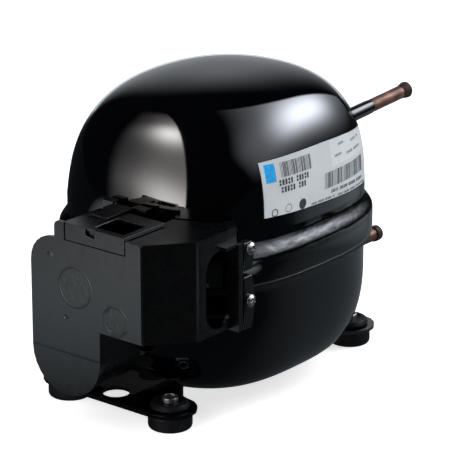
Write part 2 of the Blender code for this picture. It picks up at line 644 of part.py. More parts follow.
def make_head(pump):
    """Reed, valve plate, reed and head stacked on the cylinder's end and held by four bolts."""
    outline = rounded((-22, CYL_Z - 22), (22, CYL_Z + 22), 4, 1)
    pieces = [prism("suction_reed", outline, 52.3, 52.9, "steel", plane="YZ", parent=pump),
              prism("valve_plate", outline, 53.2, 56.6, "steel", plane="YZ", parent=pump),
              prism("cylinder_head", outline, 56.9, 70.0, "aluminium", plane="YZ", parent=pump)]
    for side in (-1, 1):
        slot_y = sorted((4.4 * side, 5.4 * side))
        cut(pieces[0], block(f"reed_slot_{side}", (52, slot_y[0], CYL_Z - 9),
                             (53.1, slot_y[1], CYL_Z + 9), None))
    cut(pieces[0], block("reed_tip_slot", (52, -5.0, CYL_Z + 8), (53.1, 5.0, CYL_Z + 9.4), None))
    for number, (y, z) in enumerate(((0, CYL_Z + 5), (0, CYL_Z - 5))):
        cut(pieces[1], rod(f"port_{number}", 2.2, 50, 60, None, (0, y, z), "X", 12))
    chamber = prism("head_chamber", rounded((-12.4, CYL_Z - 19), (12.4, CYL_Z + 19), 3, 2), 55, 66,
                    None, plane="YZ")
    cut(pieces[2], chamber)
    prism("discharge_reed", rounded((-4, CYL_Z - 13), (4, CYL_Z + 10), 2.5, 2), 56.9, 57.5, "steel",
          plane="YZ", parent=pump)
    for number, y, z in four_corners(HEAD_BOLT, HEAD_BOLT, (0, CYL_Z)):
        for index, piece in enumerate(pieces):
            cut(piece, rod(f"head_hole_{index}_{number}", 2.5, 46, 80, None, (0, y, z), "X", 8))
        turned(f"head_bolt_{number}", [(0, 46.9), (2.1, 46.9), (2.1, 70.3), (4.2, 70.3),
                                       (4.2, 74.0), (0, 74.0)], "steel", (0, y, z), "X", 12, pump)


def make_muffler(pump):
    """Two-part plastic suction muffler beside the cylinder, with its inlet mouth."""
    body = prism("suction_muffler", rounded((30, -50), (61, -25.5), 6, 3), 104.2, 136,
                 "white_plastic", parent=pump)
    join(body, prism("muffler_seam", rounded((28.5, -51.5), (62.5, -24), 7, 3), 120, 122, None),
         rod("muffler_mouth", 5.0, -56, -45, None, (44, 0, 128), "Y", 16))
    cut(body, rod("muffler_bore", 3.4, -60, -47, None, (44, 0, 128), "Y", 16))


def make_discharge_line():
    """Discharge line from the head: one turn round the motor, down to its tube in the bowl."""
    points = [(63, 22.5, CYL_Z), (63.6, 26, CYL_Z), (64.5, 31, CYL_Z - 0.3)]
    steps = 30
    a, b = 71.5, 61.0
    for i in range(steps + 1):
        share = i / steps
        angle = math.radians(32 + 350 * share)
        c, s = math.cos(angle), math.sin(angle)
        power = 2 / SHELL_N
        points.append((a * math.copysign(abs(c) ** power, c), b * math.copysign(abs(s) ** power, s),
                       CYL_Z - 1 - (CYL_Z - 66) * share))
    points += [(70.5, 36.5, 65.2), (73.2, 39.4, 65.0), (75.4, 40.0, 65.0)]
    tube("discharge_line", points, 2.1, "copper", 1)


def make_springs(lower_shell):
    """Coil springs under the stator bolts' heads, each over a stud that is welded to the bowl."""
    turns, steps = 5, 9
    radius, wire = 5.9, 0.75
    free = SPRING_TOP - 1.8 - SPRING_BOTTOM - 2 * wire - 2 * GAP
    for number, x, y in four_corners(SPRING_X, SPRING_Y):
        points = []
        for i in range(turns * steps + 1):
            angle = 2 * math.pi * i / steps
            points.append((x + radius * math.cos(angle), y + radius * math.sin(angle),
                           SPRING_BOTTOM + wire + GAP + free * i / (turns * steps)))
        tube(f"spring_{number}", points, wire, "steel", 0)
        stud = [(0, 14.4), (3.4, 14.4), (7.0, 20.2), (7.0, SPRING_BOTTOM), (4.4, SPRING_BOTTOM),
                (3.8, 28.5), (0, 28.5)]
        join(lower_shell, turned(f"spring_stud_{number}", stud, None, (x, y, 0), sides=10))


def main():
    clear_scene()
    upper = make_upper_shell()
    lower = make_lower_shell()
    make_weld_bead()
    make_base_plate("base_plate_cover_end", FEET_X[0], 1)
    make_base_plate("base_plate_tube_end", FEET_X[1], -1)
    make_feet()
    make_tubes(upper, lower)
    make_plugs()
    make_label()
    make_terminal(lower)
    make_fence()
    make_relay()
    cover_pivot = joint_axis("cover_axis", (COVER_FRONT, 0, CYL_Z))
    make_cover(cover_pivot)
    make_lid(cover_pivot)
    make_clip(cover_pivot)
    make_clamps(cover_pivot)
    pump = joint_axis("pump_axis", (0, 0, 0))
    crank = joint_axis("crank_axis", (0, 0, 0))
    piston = joint_axis("piston_axis", (CRANK_THROW + ROD_LENGTH, 0, CYL_Z))
    rod_pivot = joint_axis("wrist_axis", (CRANK_THROW + ROD_LENGTH, 0, CYL_Z))
    crank.parent = pump
    piston.parent = pump
    rod_pivot.parent = piston
    rod_pivot.matrix_parent_inverse = Matrix.Translation(-Vector(piston.location))
    make_motor(pump, crank)
    make_block(pump)
    make_crank(crank)
    make_piston_set(piston, rod_pivot)
    make_head(pump)
    make_muffler(pump)
    make_discharge_line()
    make_springs(lower)


main()
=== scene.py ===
"""Looks of the hermetic compressor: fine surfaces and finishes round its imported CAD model.

Lengths are in millimetres and are turned to metres as each mesh is made. +X is the tube end,
-X the relay cover, -Y the labelled side, and the shell's axis stands on the origin.
"""

import json
import math

import bmesh
import bpy
from mathutils import Matrix, Vector


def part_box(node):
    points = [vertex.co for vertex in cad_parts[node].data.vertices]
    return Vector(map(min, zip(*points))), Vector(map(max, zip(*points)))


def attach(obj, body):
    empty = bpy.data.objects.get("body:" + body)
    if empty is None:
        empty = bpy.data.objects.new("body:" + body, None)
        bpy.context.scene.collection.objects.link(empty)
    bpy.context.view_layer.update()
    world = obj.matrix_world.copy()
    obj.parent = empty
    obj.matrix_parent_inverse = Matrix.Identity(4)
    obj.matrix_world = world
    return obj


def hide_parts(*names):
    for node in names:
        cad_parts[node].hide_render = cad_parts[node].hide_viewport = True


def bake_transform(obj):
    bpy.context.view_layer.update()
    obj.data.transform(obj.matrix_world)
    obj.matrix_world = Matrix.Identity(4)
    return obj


MM = 0.001
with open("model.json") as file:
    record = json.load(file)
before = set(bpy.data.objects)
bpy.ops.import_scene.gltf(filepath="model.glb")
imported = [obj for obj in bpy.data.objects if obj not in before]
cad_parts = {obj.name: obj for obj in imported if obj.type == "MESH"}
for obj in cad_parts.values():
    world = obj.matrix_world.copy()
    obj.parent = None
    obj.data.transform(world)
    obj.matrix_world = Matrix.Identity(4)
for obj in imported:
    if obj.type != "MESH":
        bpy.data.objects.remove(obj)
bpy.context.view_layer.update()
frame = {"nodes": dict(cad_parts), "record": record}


def box(node):
    """Lowest and highest corner of a CAD node, in millimetres."""
    low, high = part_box(node)
    return low / MM, high / MM


# ---- sizes read from the frame ------------------------------------------
SHELL_LOW, SHELL_HIGH = box("upper_shell")
BOWL_LOW, BOWL_HIGH = box("lower_shell")
LABEL_LOW, LABEL_HIGH = box("label")
COVER_LOW, _ = box("relay_cover")

SHELL_N = 2.8                  # squareness of the shell's plan
CROWN_N = 2.1                  # squareness of the plan near the crown
CROWN_SHIFT = -3.1             # how far the crown leans towards the labelled side
DOME_N = 2.9                   # squareness of the dome's profile
FLARE = 4.5                    # how far the skirt stands out from the dome's wall
DOME_A, DOME_B = SHELL_HIGH.x - FLARE, SHELL_HIGH.y - FLARE
SKIRT_BOTTOM = SHELL_LOW.z
SKIRT_TOP = SKIRT_BOTTOM + 13.5   # where the flare starts to run in
FLARE_END = SKIRT_BOTTOM + 24     # where it meets the dome's wall
DOME_START = SKIRT_BOTTOM + 31.3  # where that wall starts to curve
DOME_TOP = SHELL_HIGH.z + 0.1
WALL = 3.0                     # thickness of both shells
GAP = 0.3                      # gap between pieces that touch
RIM = 1.2                      # how far the bowl's rim stands out from its wall
BOWL_A, BOWL_B = BOWL_HIGH.x - RIM, BOWL_HIGH.y - RIM
BOWL_BOTTOM, BOWL_TOP = BOWL_LOW.z, BOWL_HIGH.z
BOWL_N = 2.25                  # squareness of the bowl's profile
BOWL_FLAT = 0.66               # share of the bowl's half-size that is flat
BOWL_RISE = 50                 # height over which the bowl curves up to its wall
BOWL_TURN = 33                 # rise at which its thickness has turned from upright to level
RIM_START = 76                 # where the bowl's rim starts to stand out
SPRING_X, SPRING_Y = 44, 36    # where the spring studs stand
STUD = ((0.01, 14.4), (3.4, 14.4), (7.0, 20.2), (7.0, 22), (4.4, 22), (3.8, 28.5), (0.01, 28.5))
PLAN_POINTS = 176


# ---- mesh helpers -------------------------------------------------------
def finish_piece(name, mesh_data, material, body, replaced=(), sharp=35):
    """Makes an object of a bmesh in millimetres, shades it, and ties it to the frame. A piece that
    stretches between two bodies rides on none."""
    bmesh.ops.remove_doubles(mesh_data, verts=mesh_data.verts, dist=1e-4)
    bmesh.ops.recalc_face_normals(mesh_data, faces=mesh_data.faces)
    bmesh.ops.scale(mesh_data, vec=(MM, MM, MM), verts=mesh_data.verts)
    mesh = bpy.data.meshes.new(name)
    mesh_data.to_mesh(mesh)
    mesh_data.free()
    mesh.materials.append(material)
    mesh.shade_smooth()
    mesh.set_sharp_from_angle(angle=math.radians(sharp))
    # an object of the same name is the hidden CAD node, so the piece gets a name of its own
    obj = bpy.data.objects.new(f"{name}_fine" if name in frame["nodes"] else name, mesh)
    bpy.context.scene.collection.objects.link(obj)
    if body:
        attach(obj, body)
    if replaced:
        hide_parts(*replaced)
    return obj


def skin(mesh_data, rings, ends="capped"):
    """Skins rings with the same number of points. Ends are capped, open, or joined to each other."""
    rows = [[mesh_data.verts.new(Vector(p)) for p in ring] for ring in rings]
    count = len(rows[0])
    pairs = list(zip(rows, rows[1:]))
    if ends == "joined":
        pairs.append((rows[-1], rows[0]))
    for low, high in pairs:
        for i in range(count):
            j = (i + 1) % count
            mesh_data.faces.new((low[i], low[j], high[j], high[i]))
    if ends == "capped":
        mesh_data.faces.new(rows[0][::-1])
        mesh_data.faces.new(rows[-1])


def turned_rings(profile, sides):
    rings = []
    for radius, height in profile:
        ring = []
        for i in range(sides):
            angle = 2 * math.pi * i / sides
            ring.append((radius * math.cos(angle), radius * math.sin(angle), height))
        rings.append(ring)
    return rings


def turned(mesh_data, profile, place, axis=(0, 0, 1), sides=64, ends="joined"):
    """Adds a turned (radius, height) profile at a place, along an axis."""
    before = set(mesh_data.verts)
    skin(mesh_data, turned_rings(profile, sides), ends)
    turn = Vector((0, 0, 1)).rotation_difference(Vector(axis)).to_matrix().to_4x4()
    bmesh.ops.transform(mesh_data, matrix=Matrix.Translation(Vector(place)) @ turn,
                        verts=[v for v in mesh_data.verts if v not in before])


def rounded_profile(points, radius, steps=4):
    """Rounds the corners of a closed (radius, height) profile."""
    result = []
    count = len(points)
    for i, point in enumerate(points):
        here = Vector(point)
        back = Vector(points[i - 1]) - here
        ahead = Vector(points[(i + 1) % count]) - here
        reach = min(radius, back.length * 0.45, ahead.length * 0.45)
        start, end = here + back.normalized() * reach, here + ahead.normalized() * reach
        for step in range(steps + 1):
            t = step / steps
            spot = start * (1 - t) ** 2 + here * 2 * t * (1 - t) + end * t ** 2
            result.append((spot.x, spot.y))
    return result


def arc(centre, radius, start_deg, end_deg, steps):
    angles = [math.radians(start_deg + (end_deg - start_deg) * i / steps) for i in range(steps + 1)]
    return [(centre[0] + radius * math.cos(a), centre[1] + radius * math.sin(a)) for a in angles]


# ---- materials ----------------------------------------------------------
class Finish:
    """A material with a Principled shader and short calls for its procedural parts."""

    def __init__(self, name, colour, roughness, metallic=0.0, **sockets):
        self.material = bpy.data.materials.new(name)
        self.material.use_nodes = True
        self.nodes = self.material.node_tree.nodes
        self.links = self.material.node_tree.links
        self.shader = self.nodes["Principled BSDF"]
        self.shader.inputs["Base Color"].default_value = (*colour, 1)
        self.shader.inputs["Roughness"].default_value = roughness
        self.shader.inputs["Metallic"].default_value = metallic
        for socket, value in sockets.items():
            self.shader.inputs[socket.replace("_", " ")].default_value = value
        self.place = self.nodes.new("ShaderNodeTexCoord").outputs["Object"]

    def stretched(self, scale):
        """Object coordinates multiplied along each axis."""
        mapping = self.nodes.new("ShaderNodeMapping")
        mapping.inputs["Scale"].default_value = scale
        self.links.new(self.place, mapping.inputs["Vector"])
        return mapping.outputs["Vector"]

    def noise(self, scale, detail=3.0, vector=None, distortion=0.0):
        node = self.nodes.new("ShaderNodeTexNoise")
        node.inputs["Scale"].default_value = scale
        node.inputs["Detail"].default_value = detail
        node.inputs["Distortion"].default_value = distortion
        self.links.new(vector or self.place, node.inputs["Vector"])
        return node.outputs["Fac"]

    def cells(self, scale):
        node = self.nodes.new("ShaderNodeTexVoronoi")
        node.inputs["Scale"].default_value = scale
        self.links.new(self.place, node.inputs["Vector"])
        return node.outputs["Distance"]

    def spread(self, value, low_in, high_in, low_out, high_out):
        """Maps a value from one range to another, clamped."""
        node = self.nodes.new("ShaderNodeMapRange")
        for socket, number in zip(("From Min", "From Max", "To Min", "To Max"),
                                  (low_in, high_in, low_out, high_out)):
            node.inputs[socket].default_value = number
        self.links.new(value, node.inputs["Value"])
        return node.outputs["Result"]

    def maths(self, operation, *values):
        node = self.nodes.new("ShaderNodeMath")
        node.operation = operation
        for socket, value in zip(node.inputs, values):
            if isinstance(value, (int, float)):
                socket.default_value = value
            else:
                self.links.new(value, socket)
        return node.outputs["Value"]

    def total(self, *values):
        """Sum of several values."""
        result = values[0]
        for value in values[1:]:
            result = self.maths("ADD", result, value)
        return result

    def along(self, axis):
        """One object coordinate, in metres."""
        node = self.nodes.new("ShaderNodeSeparateXYZ")
        self.links.new(self.place, node.inputs["Vector"])
        return node.outputs[axis]

    def offsets(self, y, z):
        """Distances in millimetres along Y and Z from a place, without their signs."""
        return [self.maths("ABSOLUTE", self.maths("MULTIPLY_ADD", self.along(axis), 1 / MM, -spot))
                for axis, spot in (("Y", y), ("Z", z))]

    def distance(self, y, z):
        """Distance in millimetres from a line along X through (y, z)."""
        squares = [self.maths("POWER", off, 2) for off in self.offsets(y, z)]
        return self.maths("SQRT", self.total(*squares))

    def octagon(self, y, z):
        """Distance to the sides of an octagon round (y, z), in millimetres from its middle."""
        off_y, off_z = self.offsets(y, z)
        slanted = self.maths("MULTIPLY", self.maths("ADD", off_y, off_z), math.sqrt(0.5))
        return self.maths("MAXIMUM", self.maths("MAXIMUM", off_y, off_z), slanted)

    def ellipse(self, x, y, wide, high):
        """Square of the distance from (x, y) in metres, counted in half-widths and half-heights."""
        offs = [self.maths("MULTIPLY_ADD", self.along(axis), 1 / reach, -spot / reach)
                for axis, spot, reach in (("X", x, wide), ("Y", y, high))]
        return self.total(*(self.maths("POWER", off, 2) for off in offs))

    def ridge(self, value, middle, half_width):
        """1 where a value is at the middle, falling to 0 at the half width on both sides."""
        off = self.maths("ABSOLUTE", self.maths("SUBTRACT", value, middle))
        return self.spread(off, half_width * 0.4, half_width, 1, 0)

    def colours(self, value, *stops):
        """Colour ramp through (position, colour) stops."""
        node = self.nodes.new("ShaderNodeValToRGB")
        elements = node.color_ramp.elements
        while len(elements) < len(stops):
            elements.new(0.5)
        for element, (position, colour) in zip(elements, stops):
            element.position = position
            element.color = (*colour, 1)
        self.links.new(value, node.inputs["Fac"])
        return node.outputs["Color"]

    def mixed(self, factor, first, second):
        """Mix of two colours, which are sockets or plain colours. The mix node's sockets 6 and 7 are
        its colours, and its output 2 is the colour that it gives."""
        node = self.nodes.new("ShaderNodeMix")
        node.data_type = "RGBA"
        self.links.new(factor, node.inputs["Factor"])
        for socket, value in ((node.inputs[6], first), (node.inputs[7], second)):
            if isinstance(value, tuple):
                socket.default_value = (*value, 1)
            else:
                self.links.new(value, socket)
        return node.outputs[2]

    def emission(self, strength, colour=(1, 1, 1)):
        """Emission shader with a strength that is a socket or a number."""
        node = self.nodes.new("ShaderNodeEmission")
        node.inputs["Color"].default_value = (*colour, 1)
        if isinstance(strength, float):
            node.inputs["Strength"].default_value = strength
        else:
            self.links.new(strength, node.inputs["Strength"])
        return node.outputs["Emission"]

    def clear(self):
        return self.nodes.new("ShaderNodeBsdfTransparent").outputs["BSDF"]

    def both(self, first, second, factor=None):
        """Sum of two shaders, or their mix where there is a factor."""
        node = self.nodes.new("ShaderNodeAddShader" if factor is None else "ShaderNodeMixShader")
        if factor is not None:
            self.links.new(factor, node.inputs["Fac"])
        sockets = [socket for socket in node.inputs if socket.type == "SHADER"]
        self.links.new(first, sockets[0])
        self.links.new(second, sockets[1])
        return node.outputs["Shader"]

    def surface(self, shader):
        self.links.new(shader, self.nodes["Material Output"].inputs["Surface"])

    def set(self, socket, value):
        self.links.new(value, self.shader.inputs[socket])

    def bump(self, height, distance, strength=1.0):
        """Adds a bump on top of any bump that the shader has already."""
        node = self.nodes.new("ShaderNodeBump")
        node.inputs["Strength"].default_value = strength
        node.inputs["Distance"].default_value = distance
        self.links.new(height, node.inputs["Height"])
        normal = self.shader.inputs["Normal"]
        if normal.links:
            self.links.new(normal.links[0].from_socket, node.inputs["Normal"])
        self.links.new(node.outputs["Normal"], normal)


def enamel():
    """Thick glossy black enamel: slow waves from the pressing, puckers where the flare was drawn,
    orange peel, faint handling marks."""
    finish = Finish("enamel", (0.0004, 0.0005, 0.0009), 0.05, IOR=1.75)
    haze = finish.noise(9, 4)
    marks = finish.noise(60, 6, finish.stretched((1, 1, 5)))
    roughness = finish.maths("ADD", finish.spread(haze, 0.35, 0.75, 0.02, 0.07),
                             finish.spread(marks, 0.58, 0.75, 0.0, 0.05))
    finish.set("Roughness", roughness)
    finish.set("Base Color", finish.colours(haze, (0.3, (0.0002, 0.0003, 0.0007)),
                                            (0.7, (0.0007, 0.0009, 0.0014))))
    finish.bump(finish.noise(16, 1), 0.0006, 0.30)
    flare = finish.ridge(finish.maths("MULTIPLY", finish.along("Z"), 1 / MM),
                         (SKIRT_TOP + FLARE_END) / 2, (FLARE_END - SKIRT_TOP) / 2 + 3)
    puckers = finish.noise(70, 2, finish.stretched((1, 1, 2)))
    finish.bump(finish.maths("MULTIPLY", puckers, flare), 0.0012, 0.5)
    finish.bump(finish.noise(420, 2), 0.00002, 0.25)
    return finish.material


def moulded_plastic(name, colour, roughness, grain=0.12):
    """Satin moulded plastic with a spark-eroded grain, flow marks and a little dust."""
    finish = Finish(name, colour, roughness, IOR=1.5)
    pale = tuple(c * 1.5 + 0.0002 for c in colour)
    dark = tuple(c * 0.8 for c in colour)
    flow = finish.noise(22, 5, distortion=0.6)
    finish.set("Base Color", finish.colours(flow, (0.3, dark), (0.55, colour), (0.8, pale)))
    finish.set("Roughness", finish.spread(finish.noise(140, 4), 0.3, 0.7, roughness - 0.03,
                                          roughness + 0.05))
    finish.bump(finish.cells(1900), 0.00006, grain)
    finish.bump(finish.noise(35, 2), 0.0003, 0.05)
    return finish


BLACK_PLASTIC = (0.0005, 0.0007, 0.0012)
DATE_RING, OCTAGON_MARK = (-4.2, 88.1), (-33.3, 75.0)      # (y, z) of the marks on the face plate
EJECTOR_DIMPLE, PIP = (3, 69.3), (14, 103.3)
TONGUE_CREASE = (0.0474, 0.0486)                           # in metres up Z


def cover_plastic():
    """The cover's plastic with the moulding marks of its face plate: a date ring, an octagonal
    mark, an ejector pin's dimple, a pip, and the crease across the hanging tongue."""
    finish = moulded_plastic("black_plastic_face", BLACK_PLASTIC, 0.27)
    ring = finish.distance(*DATE_RING)
    mark = finish.octagon(*OCTAGON_MARK)
    letters = finish.spread(finish.noise(420, 1), 0.52, 0.56, 0, 0.5)
    height = finish.total(
        finish.ridge(ring, 11.6, 0.55),
        finish.ridge(mark, 8.2, 0.6),
        finish.maths("MULTIPLY", finish.spread(mark, 7.0, 7.4, 1, 0), letters),
        finish.maths("MULTIPLY", finish.spread(ring, 10.0, 10.4, 0.5, 0), letters),
        finish.spread(finish.distance(*EJECTOR_DIMPLE), 0.6, 1.3, -2, 0),
        finish.spread(finish.distance(*PIP), 0.8, 2.4, 1, 0),
        finish.spread(finish.along("Z"), *TONGUE_CREASE, -0.9, 0))
    on_face = finish.spread(finish.along("X"), (COVER_LOW.x + 0.2) * MM, (COVER_LOW.x + 0.6) * MM, 1, 0)
    finish.bump(finish.maths("MULTIPLY", height, on_face), 0.0003, 0.6)
    return finish.material


def rubber(name, colour=(0.004, 0.0042, 0.005), roughness=0.5):
    finish = Finish(name, colour, roughness, IOR=1.45, Specular_IOR_Level=0.14)
    pale = tuple(c * 2.2 + 0.001 for c in colour)
    finish.set("Base Color", finish.colours(finish.noise(160, 6), (0.45, colour), (0.8, pale)))
    finish.set("Roughness", finish.spread(finish.noise(90, 3), 0.3, 0.7, roughness - 0.12,
                                          roughness + 0.12))
    finish.bump(finish.noise(1300, 4), 0.00009, 0.35)
    return finish.material


def metal(name, colour, roughness, stretch=(1, 1, 1), grain=900, tarnish=(0.8, 0.8, 0.8),
          metallic=1.0):
    """Metal with drawn or ground lines where the coordinates are stretched, and some tarnish."""
    finish = Finish(name, colour, roughness, metallic)
    stain = tuple(c * t for c, t in zip(colour, tarnish))
    lines = finish.noise(grain, 3, finish.stretched(stretch))
    clouds = finish.noise(55, 5, distortion=0.4)
    finish.set("Base Color", finish.mixed(finish.spread(clouds, 0.42, 0.7, 0, 1), colour, stain))
    finish.set("Roughness", finish.maths("ADD", finish.spread(lines, 0.3, 0.7, -0.07, 0.08),
                                         finish.spread(clouds, 0.3, 0.7, roughness - 0.04,
                                                       roughness + 0.1)))
    finish.bump(lines, 0.00003, 0.4)
    return finish.material


def copper_tube(name, painted_to):
    """Drawn copper, browned by the brazing heat, with shell paint on its root up to an X."""
    finish = Finish(name, (0.20, 0.12, 0.095), 0.42, 0.8)
    clouds = finish.noise(120, 5, distortion=0.5)
    lines = finish.noise(700, 2, finish.stretched((0.05, 1, 1)))
    copper = finish.colours(clouds, (0.3, (0.075, 0.037, 0.029)), (0.5, (0.12, 0.06, 0.045)),
                            (0.72, (0.20, 0.11, 0.085)))
    ragged = finish.maths("ADD", finish.along("X"), finish.spread(clouds, 0.3, 0.7, -0.0012, 0.0012))
    edge = painted_to * MM
    bare = finish.spread(ragged, edge - 0.0002, edge + 0.0002, 0, 1)
    scorched = finish.spread(ragged, edge, edge + 0.007, 0, 1)
    warm = finish.mixed(scorched, (0.08, 0.036, 0.029), copper)
    finish.set("Base Color", finish.mixed(bare, (0.002, 0.002, 0.003), warm))
    finish.set("Metallic", finish.maths("MULTIPLY", bare, 0.8))
    dull = finish.spread(lines, 0.3, 0.7, 0.34, 0.5)
    finish.set("Roughness", finish.maths("MULTIPLY_ADD", bare, dull, 0.08))
    finish.bump(lines, 0.00003, 0.3)
    return finish.material


def label_paper(name="label_film", lift=1.0):
    """White printed film label: slightly cool, with faint mottling and a satin top."""
    finish = Finish(name, (0.50, 0.53, 0.56), 0.33, IOR=1.45)
    dark, pale = (tuple(c * lift for c in colour)
                  for colour in ((0.47, 0.51, 0.545), (0.55, 0.585, 0.61)))
    finish.set("Base Color", finish.colours(finish.noise(30, 4), (0.35, dark), (0.7, pale)))
    finish.set("Roughness", finish.spread(finish.noise(200, 3), 0.3, 0.7, 0.26, 0.42))
    finish.bump(finish.noise(26, 1), 0.0003, 0.10)
    return finish.material


def ink(name, colour):
    finish = Finish(name, colour, 0.38, IOR=1.45)
    pale = tuple(c * 1.5 + 0.01 for c in colour)
    finish.set("Base Color", finish.colours(finish.noise(600, 4), (0.45, colour), (0.75, pale)))
    return finish.material


def winding_wire():
    """Enamelled wire wound round the core, with its lacing."""
    finish = Finish("winding_wire", (0.32, 0.075, 0.02), 0.28, 0.65)
    strands = finish.noise(900, 2, finish.stretched((0.35, 0.35, 1.0)))
    finish.set("Base Color", finish.colours(strands, (0.35, (0.10, 0.02, 0.008)),
                                            (0.6, (0.38, 0.10, 0.03)), (0.8, (0.60, 0.24, 0.09))))
    finish.bump(strands, 0.0006, 0.8)
    return finish.material


def laminations():
    """Stack of 0.5 mm electrical steel sheets: fine lines across Z."""
    finish = Finish("lamination_stack", (0.20, 0.20, 0.21), 0.42, 0.9)
    sheets = finish.nodes.new("ShaderNodeTexWave")
    sheets.bands_direction = "Z"
    sheets.inputs["Scale"].default_value = 320
    sheets.inputs["Distortion"].default_value = 0.6
    finish.links.new(finish.place, sheets.inputs["Vector"])
    finish.set("Base Color", finish.colours(sheets.outputs["Fac"], (0.1, (0.07, 0.07, 0.075)),
                                            (0.6, (0.25, 0.25, 0.26))))
    finish.set("Roughness", finish.spread(finish.noise(120, 4), 0.3, 0.7, 0.35, 0.55))
    finish.bump(sheets.outputs["Fac"], 0.0002, 0.6)
    return finish.material


def cast_metal(name, colour, roughness, metallic):
    finish = Finish(name, colour, roughness, metallic)
    pale = tuple(c * 1.3 for c in colour)
    dark = tuple(c * 0.65 for c in colour)
    finish.set("Base Color", finish.colours(finish.noise(70, 6), (0.3, dark), (0.55, colour),
                                            (0.8, pale)))
    finish.set("Roughness", finish.spread(finish.noise(150, 3), 0.3, 0.7, roughness - 0.1,
                                          roughness + 0.12))
    finish.bump(finish.noise(900, 5), 0.00025, 0.45)
    return finish.material


NO_PAINT = -1000.0             # an X that lies before every tube
MATERIALS = {
    "shell_paint": enamel(),
    "weld_paint": moulded_plastic("weld_paint", (0.0004, 0.0005, 0.0009), 0.4).material,
    "black_plastic": moulded_plastic("black_plastic_satin", BLACK_PLASTIC, 0.27).material,
    "rubber": rubber("rubber_black"),
    "zinc_steel": metal("zinc_plate", (0.50, 0.51, 0.52), 0.26, (1, 0.12, 1), 700, (0.75, 0.73, 0.66)),
    "spring_steel": metal("spring_steel_black", (0.045, 0.046, 0.05), 0.3, (1, 0.2, 1), 600),
    "copper": copper_tube("copper_drawn", NO_PAINT),
    "plug_rubber": rubber("plug_rubber_brown", (0.022, 0.014, 0.0125), 0.5),
    "label": label_paper(),
    "cast_iron": cast_metal("cast_iron_block", (0.12, 0.12, 0.125), 0.55, 0.7),
    "laminations": laminations(),
    "winding": winding_wire(),
    "aluminium": cast_metal("aluminium_cast", (0.50, 0.51, 0.52), 0.40, 1.0),
    "steel": metal("steel_ground", (0.42, 0.42, 0.43), 0.22, (0.3, 0.3, 4), 800, (0.8, 0.78, 0.74)),
    "terminal_steel": metal("terminal_plate", (0.28, 0.28, 0.27), 0.32, (1, 1, 1), 500),
    "white_plastic": moulded_plastic("natural_plastic", (0.58, 0.55, 0.47), 0.45).material,
}


# ---- shell --------------------------------------------------------------
def plan(a, b, height, squareness=SHELL_N, middle_y=0.0):
    """Superellipse ring of half-sizes a and b."""
    power = 2 / squareness
    ring = []
    for i in range(PLAN_POINTS):
        angle = 2 * math.pi * i / PLAN_POINTS
        c, s = math.cos(angle), math.sin(angle)
        ring.append((a * math.copysign(abs(c) ** power, c),
                     middle_y + b * math.copysign(abs(s) ** power, s), height))
    return ring


def dome_rings(inset, steps=44):
    """Dome from its wall up to just short of its top, leaning and turning rounder as it rises."""
    rings = []
    for i in range(steps + 1):
        turn = math.pi / 2 * i / (steps + 0.3)
        shrink = math.cos(turn) ** (2 / DOME_N)
        rise = math.sin(turn) ** (2 / DOME_N)
        height = DOME_START + (DOME_TOP - inset - DOME_START) * rise
        squareness = SHELL_N + (CROWN_N - SHELL_N) * rise
        rings.append(plan((DOME_A - inset) * shrink, (DOME_B - inset) * shrink, height, squareness,
                          CROWN_SHIFT * rise))
    return rings


def skirt_rings(inset, steps=14):
    """Skirt with a rolled bottom edge, then the flare as a quarter wave."""
    rings = []
    roll = 0.9
    for x, z in arc((-roll, roll), roll, -90, 0, 4):
        rings.append(plan(DOME_A + FLARE + x - inset, DOME_B + FLARE + x - inset, SKIRT_BOTTOM + z))
    for i in range(steps + 1):
        share = i / steps
        out = FLARE * (0.5 + 0.5 * math.cos(math.pi * share)) - inset
        height = SKIRT_TOP + (FLARE_END - SKIRT_TOP) * share
        rings.append(plan(DOME_A + out, DOME_B + out, height))
    return rings


def bowl_profile():
    """(share of the half-size, rise) pairs up the bowl: a flat bottom, then a quarter superellipse."""
    steps = 26
    pairs = [(0.60, 0.0)]
    for i in range(steps + 1):
        turn = math.pi / 2 * i / steps
        share = BOWL_FLAT + (1 - BOWL_FLAT) * math.sin(turn) ** (2 / BOWL_N)
        pairs.append((share, BOWL_RISE * (1 - max(0.0, math.cos(turn)) ** (2 / BOWL_N))))
    return pairs


def bowl_rings(inset):
    rings = []
    for share, rise in bowl_profile():
        rings.append(plan(BOWL_A * share - inset, BOWL_B * share - inset,
                          BOWL_BOTTOM + rise + inset * max(0.0, 1 - rise / BOWL_TURN)))
    for step in range(7):
        swell = RIM * (0.5 - 0.5 * math.cos(math.pi * step / 6))
        rings.append(plan(BOWL_A + swell - inset, BOWL_B + swell - inset, RIM_START + step))
    rings.append(plan(BOWL_A + RIM - inset, BOWL_B + RIM - inset, BOWL_TOP))
    return rings


def make_upper_shell():
    upper = bmesh.new()
    skin(upper, (skirt_rings(WALL) + dome_rings(WALL))[::-1] + skirt_rings(0) + dome_rings(0))
    finish_piece("upper_shell", upper, MATERIALS["shell_paint"], "housing", ["upper_shell"])


def make_lower_shell():
    """Bowl with a stud under each spring."""
    lower = bmesh.new()
    skin(lower, bowl_rings(0) + bowl_rings(WALL)[::-1])
    for x in (-1, 1):
        for y in (-1, 1):
            turned(lower, STUD, (SPRING_X * x, SPRING_Y * y, 0), sides=24, ends="capped")
    finish_piece("lower_shell", lower, MATERIALS["shell_paint"], "housing", ["lower_shell"])


